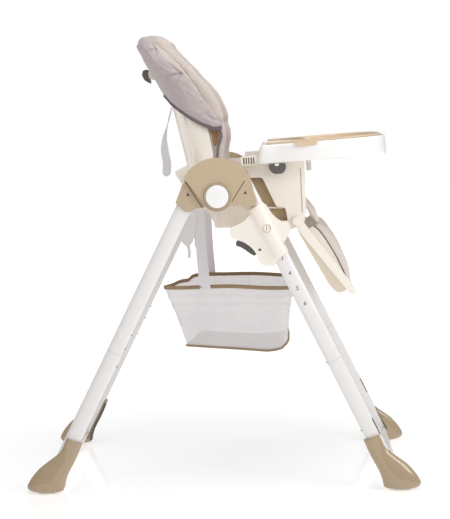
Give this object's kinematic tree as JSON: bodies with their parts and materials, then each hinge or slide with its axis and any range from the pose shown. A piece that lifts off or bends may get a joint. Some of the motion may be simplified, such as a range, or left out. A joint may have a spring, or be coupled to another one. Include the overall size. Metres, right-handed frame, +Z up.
{
  "type": "baby high chair",
  "caption": "Folding baby high chair on splayed oval legs, with a height-adjustable reclining seat, sliding tray, tilting leg rest and hanging mesh basket.",
  "frame": {"origin": "centre of the footprint on the floor", "axes": "+Z up, the child faces -Y, +X is the child's left"},
  "size_m": [0.593, 0.915, 1.063],
  "materials": {
    "white_enamel": "satin white powder coat",
    "beige_plastic": "glossy moulded plastic",
    "cream_plastic": "fine-textured moulded plastic",
    "white_plastic": "satin moulded plastic",
    "dark_plastic": "satin moulded plastic",
    "black_rubber": "matt moulded rubber",
    "zinc_steel": "bright zinc plate",
    "taupe_fabric": "woven polyester over foam",
    "white_webbing": "flat woven polyester webbing",
    "white_mesh_net": "open knitted mesh"
  },
  "bodies": {
    "front_frame": {"front_leg_right": "white_enamel", "front_leg_left": "white_enamel", "front_foot_right": "beige_plastic", "front_foot_left": "beige_plastic", "front_foot_pad_right": "black_rubber", "front_foot_pad_left": "black_rubber", "hub_cover_right": "beige_plastic", "hub_cover_left": "beige_plastic", "hub_inner_plate_right": "beige_plastic", "hub_inner_plate_left": "beige_plastic", "hub_axle_right": "zinc_steel", "hub_axle_left": "zinc_steel", "fold_button_spring_right": "zinc_steel", "fold_button_spring_left": "zinc_steel", "front_cross_tube": "white_enamel"},
    "rear_frame": {"rear_leg_right": "white_enamel", "rear_leg_left": "white_enamel", "rear_foot_right": "beige_plastic", "rear_foot_left": "beige_plastic", "rear_foot_pad_right": "black_rubber", "rear_foot_pad_left": "black_rubber", "rear_hub_socket_right": "beige_plastic", "rear_hub_socket_left": "beige_plastic", "rear_cross_tube": "white_enamel"},
    "fold_button_right": {"fold_button_right": "white_plastic"},
    "fold_button_left": {"fold_button_left": "white_plastic"},
    "seat_unit": {"seat_shell": "cream_plastic", "seat_pad": "taupe_fabric", "crotch_strap": "white_webbing", "harness_buckle": "dark_plastic", "basket": "white_mesh_net", "carriage_outer_right": "cream_plastic", "carriage_outer_left": "cream_plastic", "carriage_inner_right": "cream_plastic", "carriage_inner_left": "cream_plastic", "backrest_pin_right": "zinc_steel", "backrest_pin_left": "zinc_steel", "leg_rest_knob_right": "cream_plastic", "leg_rest_knob_left": "cream_plastic", "waist_strap_right": "white_webbing", "waist_strap_left": "white_webbing", "basket_strap_right": "white_webbing", "basket_strap_left": "white_webbing"},
    "height_trigger_right": {"height_trigger_right": "dark_plastic"},
    "height_trigger_left": {"height_trigger_left": "dark_plastic"},
    "height_lock_pin_right": {"height_lock_pin_right": "zinc_steel"},
    "height_lock_pin_left": {"height_lock_pin_left": "zinc_steel"},
    "backrest": {"backrest_shell": "cream_plastic", "backrest_cover": "taupe_fabric", "harness_strap_tail": "white_webbing", "shoulder_strap_right": "white_webbing", "shoulder_strap_left": "white_webbing"},
    "recline_handle": {"recline_handle": "dark_plastic"},
    "tray": {"tray_base": "white_plastic"},
    "tray_insert": {"tray_insert": "beige_plastic"},
    "tray_lever_right": {"tray_lever_right": "dark_plastic"},
    "tray_lever_left": {"tray_lever_left": "dark_plastic"},
    "leg_rest": {"leg_rest_frame": "cream_plastic", "leg_pad": "taupe_fabric"}
  },
  "joints": [
    {"name": "frame_fold", "type": "hinge", "parent": "front_frame", "child": "rear_frame", "pos_m": [0, 0, 0.685], "axis": [-1, 0, 0], "range_deg": [0, 52.8]},
    {"name": "seat_height", "type": "slide", "parent": "front_frame", "child": "seat_unit", "axis": [0, -0.4384, -0.8988], "range_m": [0, 0.1935]},
    {"name": "backrest_recline", "type": "hinge", "parent": "seat_unit", "child": "backrest", "pos_m": [0, 0.045, 0.7], "axis": [-1, 0, 0], "range_deg": [0, 35]},
    {"name": "recline_squeeze", "type": "hinge", "parent": "backrest", "child": "recline_handle", "pos_m": [0, 0.1731, 0.981], "axis": [1, 0, 0], "range_deg": [0, 14], "stiffness_Nm_per_rad": 1.2},
    {"name": "leg_rest_tilt", "type": "hinge", "parent": "seat_unit", "child": "leg_rest", "pos_m": [0, -0.18, 0.621], "axis": [-1, 0, 0], "range_deg": [-20, 50]},
    {"name": "tray_slide", "type": "slide", "parent": "seat_unit", "child": "tray", "axis": [0, -0.9981, 0.061], "range_m": [-0.0275, 0.055]},
    {"name": "tray_insert_lift", "type": "slide", "parent": "tray", "child": "tray_insert", "axis": [0, 0.061, 0.9981], "range_m": [0, 0.06]},
    {"name": "fold_button_right_press", "type": "slide", "parent": "front_frame", "child": "fold_button_right", "axis": [1, 0, 0], "range_m": [0, 0.006], "stiffness_N_per_m": 400, "deforming": ["fold_button_spring_right"]},
    {"name": "height_trigger_right_squeeze", "type": "hinge", "parent": "seat_unit", "child": "height_trigger_right", "pos_m": [-0.2625, -0.0975, 0.57], "axis": [1, 0, 0], "range_deg": [0, 12], "stiffness_Nm_per_rad": 1.5},
    {"name": "height_lock_pin_right_draw", "type": "slide", "parent": "seat_unit", "child": "height_lock_pin_right", "axis": [1, 0, 0], "range_m": [0, 0.006]},
    {"name": "tray_lever_right_squeeze", "type": "hinge", "parent": "tray", "child": "tray_lever_right", "pos_m": [-0.22725, -0.13641, 0.75436], "axis": [0, -0.9981, 0.061], "range_deg": [0, 10], "stiffness_Nm_per_rad": 0.8},
    {"name": "fold_button_left_press", "type": "slide", "parent": "front_frame", "child": "fold_button_left", "axis": [-1, 0, 0], "range_m": [0, 0.006], "stiffness_N_per_m": 400, "deforming": ["fold_button_spring_left"]},
    {"name": "height_trigger_left_squeeze", "type": "hinge", "parent": "seat_unit", "child": "height_trigger_left", "pos_m": [0.2625, -0.0975, 0.57], "axis": [1, 0, 0], "range_deg": [0, 12], "stiffness_Nm_per_rad": 1.5},
    {"name": "height_lock_pin_left_draw", "type": "slide", "parent": "seat_unit", "child": "height_lock_pin_left", "axis": [-1, 0, 0], "range_m": [0, 0.006]},
    {"name": "tray_lever_left_squeeze", "type": "hinge", "parent": "tray", "child": "tray_lever_left", "pos_m": [0.22725, -0.13641, 0.75436], "axis": [0, 0.9981, -0.061], "range_deg": [0, 10], "stiffness_Nm_per_rad": 0.8}
  ],
  "couplings": [
    {"joint": "height_lock_pin_right_draw", "follows": "height_trigger_right_squeeze", "m_per_rad": 0.02865},
    {"joint": "height_lock_pin_left_draw", "follows": "height_trigger_left_squeeze", "m_per_rad": 0.02865}
  ]
}
